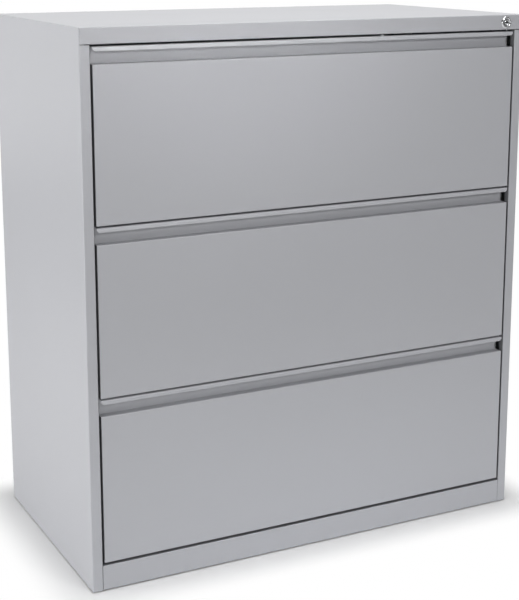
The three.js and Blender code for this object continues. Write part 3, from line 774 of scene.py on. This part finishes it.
class CABINET_OT_drawer_fronts(bpy.types.Operator):
    """Finish the drawers' fronts and inner fronts"""

    bl_idname = "cabinet.drawer_fronts"
    bl_label = "Drawer fronts"

    def execute(self, context):
        sizes = context.scene.cabinet_sizes
        for level in LEVELS:
            self.front(sizes, f"drawer_front_{level}")
        finish_nodes([f"drawer_liner_{level}" for level in LEVELS], sizes.painted_edge)
        self.bump(sizes)
        return {"FINISHED"}

    def front(self, sizes, node):
        """A drawer front whose lip leans forward, with painted shade on its ends: a darker coat that stands
        in for the shade in the gaps beside it.
        """
        low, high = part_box(node)
        edge = sizes.painted_edge
        sideways = 0.9
        piece = merged_copy(node)
        self.lean_lip(piece, low, high, sizes)
        round_edges(piece, edge)

        # Faces on the front's ends get the darker inner finish as painted shade.
        def painted_shade_on_end(place, normal):
            near_end = abs(place.x) > high.x - 2 * edge
            return near_end and abs(normal.x) > sideways and place.y > FRONT_FACE + edge

        two_finishes(piece, "paint", "inner", painted_shade_on_end)
        stand_for(piece, node)

    def bump(self, sizes):
        """A small pressed bump with a flared foot on the top drawer's upper edge."""
        low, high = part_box("drawer_front_top")
        flare = 0.2
        sunk = 0.05
        dome_end = math.radians(15)
        profile = arc((0, 0), 1, QUARTER_TURN, dome_end, steps=8)
        profile += [(1 + flare / 2, flare / 2), (1 + flare, 0), (1 + flare, -sunk), (0, -sunk)]
        piece = turned("drawer_edge_bump", profile, steps=32)
        stretch(piece, sizes.bump_size)
        middle = low.y + (1 + flare) * sizes.bump_size.y
        place_along(piece, Z_AXIS, Vector((sizes.bump_place, middle, high.z)))
        smooth_shade(piece)
        dress(piece, "paint", "drawer_top")

    def lean_lip(self, piece, low, high, sizes):
        """Lean the lip forward, more towards its lower edge, so that it catches the light from above."""
        lip_depth = 0.005
        lip_height = 0.009
        with editing(piece):
            shape = bmesh.from_edit_mesh(piece.data)
            for vertex in shape.verts:
                place = vertex.co
                if place.y < low.y + lip_depth and place.z > high.z - lip_height:
                    place.y -= sizes.lip_lean * (high.z - place.z)
            bmesh.update_edit_mesh(piece.data)


class CABINET_OT_drawer_bodies(bpy.types.Operator):
    """Press the beads in the drawers' bottoms and finish the sides and file rails"""

    bl_idname = "cabinet.drawer_bodies"
    bl_label = "Drawer bodies"

    def execute(self, context):
        sizes = context.scene.cabinet_sizes
        for level in LEVELS:
            self.tray(sizes, f"drawer_tray_{level}")
            finish_nodes([f"drawer_side_{hand}_{level}" for hand in HANDS], sizes.painted_edge)
            finish_nodes([f"hang_rail_{end}_{level}" for end in ENDS], sizes.plated_edge)
        return {"FINISHED"}

    def tray(self, sizes, node):
        """The bottom and back of a drawer, with beads pressed across the bottom."""
        low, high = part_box(node)
        piece = merged_copy(node)
        pitch = (high.y - low.y) / (sizes.bead_count + 1)
        for i in range(sizes.bead_count):
            middle = low.y + pitch * (i + 1)
            corner = Vector((low.x + sizes.bead_inset, middle - sizes.bead_width / 2, low.z))
            far = Vector((high.x - sizes.bead_inset, middle + sizes.bead_width / 2, low.z))
            self.press_bead(piece, corner, far, sizes)
        with editing(piece):
            bpy.ops.mesh.dissolve_limited(angle_limit=FLAT_ANGLE)
        round_edges(piece, sizes.painted_edge)
        stand_for(piece, node)

    def press_bead(self, piece, low, high, sizes):
        """Cut a bead's outline in the flat bottom, inset it and lift it."""
        sheet_search = 0.003
        upright = 0.99

        def on_bottom(place, normal):
            return abs(normal.z) > upright and abs(place.z - low.z) < sheet_search

        def in_bead(place, normal):
            between = low.x < place.x < high.x and low.y < place.y < high.y
            return on_bottom(place, normal) and between

        with editing(piece):
            for corner in (low, high):
                for axis in (X_AXIS, Y_AXIS):
                    select_faces(piece, on_bottom)
                    bpy.ops.mesh.bisect(plane_co=corner, plane_no=axis)
            select_faces(piece, in_bead)
            bpy.ops.mesh.inset(thickness=sizes.bead_slope)
            bpy.ops.transform.translate(value=(0, 0, sizes.bead_height))


class CABINET_OT_slides(bpy.types.Operator):
    """Finish the telescopic slides"""

    bl_idname = "cabinet.slides"
    bl_label = "Slides"

    def execute(self, context):
        edge = context.scene.cabinet_sizes.plated_edge
        for level in LEVELS:
            for member in ("outer", "mid", "inner"):
                finish_nodes([f"slide_{member}_{hand}_{level}" for hand in HANDS], edge)
        return {"FINISHED"}


class CABINET_OT_screws(bpy.types.Operator):
    """Set the screws in the slides and behind the drawer fronts"""

    bl_idname = "cabinet.screws"
    bl_label = "Screws"

    def execute(self, context):
        pattern = self.screw(context.scene.cabinet_sizes.screw_radius)
        for level in LEVELS:
            places = self.slide_places(level) + self.liner_places(level)
            screws = copies(pattern, f"drawer_screws_{level}", places)
            dress(screws, "zinc", f"drawer_{level}")
        bpy.data.objects.remove(pattern)
        return {"FINISHED"}

    def slide_places(self, level):
        """Places of the screws along the middle of both inner slide members, right mirroring left."""
        low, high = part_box(f"slide_inner_left_{level}")
        web = 0.0012
        inset = 0.03
        pitch = 0.12
        places = []
        for side in HANDS.values():
            for y in spaced(low.y + inset, high.y - inset, pitch):
                places.append((X_AXIS * side, (side * (web - high.x), y, (low.z + high.z) / 2)))
        return places

    def liner_places(self, level):
        """Places of the two rows of screws in a drawer's inner front."""
        low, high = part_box(f"drawer_liner_{level}")
        sheet = 0.0008
        inset = 0.05
        pitch = 0.2
        from_bottom = 0.04
        from_top = 0.06
        rows = (low.z + from_bottom, high.z - from_top)
        columns = spaced(low.x + inset, high.x - inset, pitch)
        return [(Y_AXIS, (x, low.y + sheet, z)) for x in columns for z in rows]

    def screw(self, radius):
        """A pan head with a cross recess, its seat at z = 0."""
        height = 0.5 * radius
        crown = 2.2 * radius
        crown_edge = math.radians(66)
        dome = arc((0, height - crown), crown, QUARTER_TURN, crown_edge, steps=5)
        profile = [(0, height)] + dome[1:] + [(radius, 0), (0, 0)]
        piece = turned("screw", profile, steps=28)
        arm = Vector((0.52 * radius, 0.11 * radius, 0.6 * height))
        top = Vector((0, 0, height))
        for half in (arm, arm.yxz):
            subtract(piece, block("recess", top - half, top + half))
        smooth_shade(piece)
        return piece


# Studio

# Each lamp: name, place, what it points at, width, height, power in watts, beam in degrees, colour
COOL = (0.92, 0.95, 1.0)
LAMPS = (
    ("key_right", (0.85, -3.2, 1.9), (0.0, -0.25, 0.6), 0.5, 0.4, 26.0),
    ("key_front", (0.5, -5.2, 2.35), (0.0, -0.25, 0.6), 0.6, 0.6, 16.2),
    ("top_beam", (-0.2, -2.2, 1.0), (-0.15, -0.25, 1.12), 0.4, 0.2, 0.34, 30),
    ("low_beam", (0.1, -2.0, 0.3), (0.0, -0.25, -0.15), 1.2, 0.2, 0.6, 40, COOL),
    ("near_left", (-0.9, -1.6, 0.84), (-0.3, -0.25, 0.95), 0.3, 0.3, 2.6),
    ("far_left", (-3.2, -0.8, 1.2), (-0.4, 0.0, 0.5), 1.2, 1.6, 18.2),
    ("side_low", (-2.6, 0.3, 0.4), (-0.46, 0.0, 0.3), 1.2, 0.6, 27.0),
    ("overhead", (0.0, -0.2, 3.0), (0.0, 0.0, 1.0), 2.6, 2.0, 54.0),
    ("rear_right", (1.7, 3.0, 0.55), (0.1, 0.2, 0.5), 1.4, 0.6, 40.0),
)


class CABINET_OT_studio(bpy.types.Operator):
    """Set up the floor, the lamps, the even light and the camera"""

    bl_idname = "cabinet.studio"
    bl_label = "Studio"

    def execute(self, context):
        studio = context.scene.cabinet_studio
        context.scene.view_settings.view_transform = "Standard"
        self.floor(studio)
        for lamp in LAMPS:
            self.lamp(*lamp)
        self.world(context.scene, studio)
        self.camera(context.scene, studio)
        return {"FINISHED"}

    def floor(self, studio):
        """A plain floor, which isn't part of the cabinet."""
        floor = start_piece("floor", bpy.ops.mesh.primitive_plane_add, size=studio.floor_size)
        floor.data.materials.append(self.floor_material(studio))

    def floor_material(self, studio):
        """A pale floor that keeps the shadow near the cabinet and fades to white around it."""
        material = bpy.data.materials.new("Pale floor")
        material.use_nodes = True
        tree = material.node_tree
        tree.nodes.clear()
        place = add_node(tree, "ShaderNodeTexCoord").outputs["Object"]
        low, high = CAD_BOX
        half = ((high[0] - low[0]) / 2, (high[1] - low[1]) / 2, 0)
        vector_math = "ShaderNodeVectorMath"
        reach = calculate(tree, vector_math, "ABSOLUTE", place)
        beyond = calculate(tree, vector_math, "SUBTRACT", reach.outputs[0], half)
        outside = calculate(tree, vector_math, "MAXIMUM", beyond.outputs[0], (0, 0, 0))
        distance = calculate(tree, vector_math, "LENGTH", outside.outputs[0])
        fade = remap(tree, distance.outputs["Value"], 0, 1, From_Min=0, From_Max=studio.shadow_reach)
        fade.interpolation_type = "SMOOTHSTEP"
        seen = add_node(tree, "ShaderNodeLightPath").outputs["Is Camera Ray"]
        share = calculate(tree, "ShaderNodeMath", "MULTIPLY", fade.outputs[0], seen)
        matte = add_node(tree, "ShaderNodeBsdfDiffuse", Color=(*studio.floor_colour, 1))
        white = add_node(tree, "ShaderNodeEmission", Strength=1.0)
        mix = mix_shaders(tree, share.outputs[0], matte, white)
        add_node(tree, "ShaderNodeOutputMaterial", [(mix.outputs[0], "Surface")])
        return material

    def lamp(self, name, place, aim, width, height, power, beam=180, colour=(1, 1, 1)):
        """A soft rectangular lamp pointed at a place."""
        light = bpy.data.lights.new(name, "AREA")
        light.shape = "RECTANGLE"
        light.size = width
        light.size_y = height
        light.energy = power
        light.spread = math.radians(beam)
        light.color = colour
        lamp = bpy.data.objects.new(name, light)
        lamp.location = place
        lamp.rotation_mode = "QUATERNION"
        lamp.rotation_quaternion = (Vector(aim) - Vector(place)).to_track_quat("-Z", "Y")
        lamp.visible_camera = False
        bpy.context.scene.collection.objects.link(lamp)

    def world(self, scene, studio):
        """Even light from all round, white for the camera, and a room with a bright back for reflections."""
        world = bpy.data.worlds.new("Studio")
        world.use_nodes = True
        tree = world.node_tree
        tree.nodes.clear()
        front_limit = -0.25
        back_limit = 0.15
        plain = (1, 1, 1, 1)
        direction = add_node(tree, "ShaderNodeTexCoord").outputs["Generated"]
        depth = add_node(tree, "ShaderNodeSeparateXYZ", [(direction, "Vector")]).outputs["Y"]
        room_light = remap(tree, depth, studio.room_dark, 1, From_Min=front_limit, From_Max=back_limit)
        even = add_node(tree, "ShaderNodeBackground", Color=plain, Strength=studio.ambient)
        room = add_node(
            tree, "ShaderNodeBackground", [(room_light.outputs[0], "Strength")], Color=plain)
        white = add_node(tree, "ShaderNodeBackground", Color=plain, Strength=1.0)
        path = add_node(tree, "ShaderNodeLightPath")
        mirrored = mix_shaders(tree, path.outputs["Is Glossy Ray"], even, room)
        seen = mix_shaders(tree, path.outputs["Is Camera Ray"], mirrored, white)
        add_node(tree, "ShaderNodeOutputWorld", [(seen.outputs[0], "Surface")])
        scene.world = world

    def camera(self, scene, studio):
        """A camera in front, to the left and a little above."""
        data = bpy.data.cameras.new("camera")
        data.lens = studio.lens
        data.shift_x, data.shift_y = studio.shift
        camera = bpy.data.objects.new("camera", data)
        camera.location = studio.camera_place
        level = math.cos(studio.camera_tilt)
        towards = Vector((
            math.sin(studio.camera_heading) * level,
            math.cos(studio.camera_heading) * level,
            -math.sin(studio.camera_tilt),
        ))
        camera.rotation_mode = "QUATERNION"
        camera.rotation_quaternion = towards.to_track_quat("-Z", "Y")
        scene.collection.objects.link(camera)
        scene.camera = camera


OPERATORS = (
    CABINET_OT_studio,
    CABINET_OT_case,
    CABINET_OT_uprights,
    CABINET_OT_base,
    CABINET_OT_back_rivets,
    CABINET_OT_lock,
    CABINET_OT_drawer_fronts,
    CABINET_OT_drawer_bodies,
    CABINET_OT_slides,
    CABINET_OT_screws,
)


class CABINET_PT_panel(bpy.types.Panel):
    """Lists the steps that finish the cabinet"""

    bl_idname = "CABINET_PT_panel"
    bl_label = "Filing cabinet"
    bl_space_type = "VIEW_3D"
    bl_region_type = "UI"
    bl_category = "Cabinet"

    def draw(self, context):
        for operator in OPERATORS:
            self.layout.operator(operator.bl_idname)


GROUPS = (CabinetSizes, CabinetFinishes, CabinetStudio)
CLASSES = GROUPS + OPERATORS + (CABINET_PT_panel,)


def register():
    """Register the classes and hang the settings on the scene."""
    for cls in CLASSES:
        bpy.utils.register_class(cls)
    bpy.types.Scene.cabinet_sizes = PointerProperty(type=CabinetSizes)
    bpy.types.Scene.cabinet_finishes = PointerProperty(type=CabinetFinishes)
    bpy.types.Scene.cabinet_studio = PointerProperty(type=CabinetStudio)


def unregister():
    """Take the settings and the classes away again."""
    del bpy.types.Scene.cabinet_studio
    del bpy.types.Scene.cabinet_finishes
    del bpy.types.Scene.cabinet_sizes
    for cls in reversed(CLASSES):
        bpy.utils.unregister_class(cls)


def main():
    """Run every step in order."""
    register()
    for operator in OPERATORS:
        family, step = operator.bl_idname.split(".")
        getattr(getattr(bpy.ops, family), step)()
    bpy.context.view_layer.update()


if __name__ == "__main__":
    main()
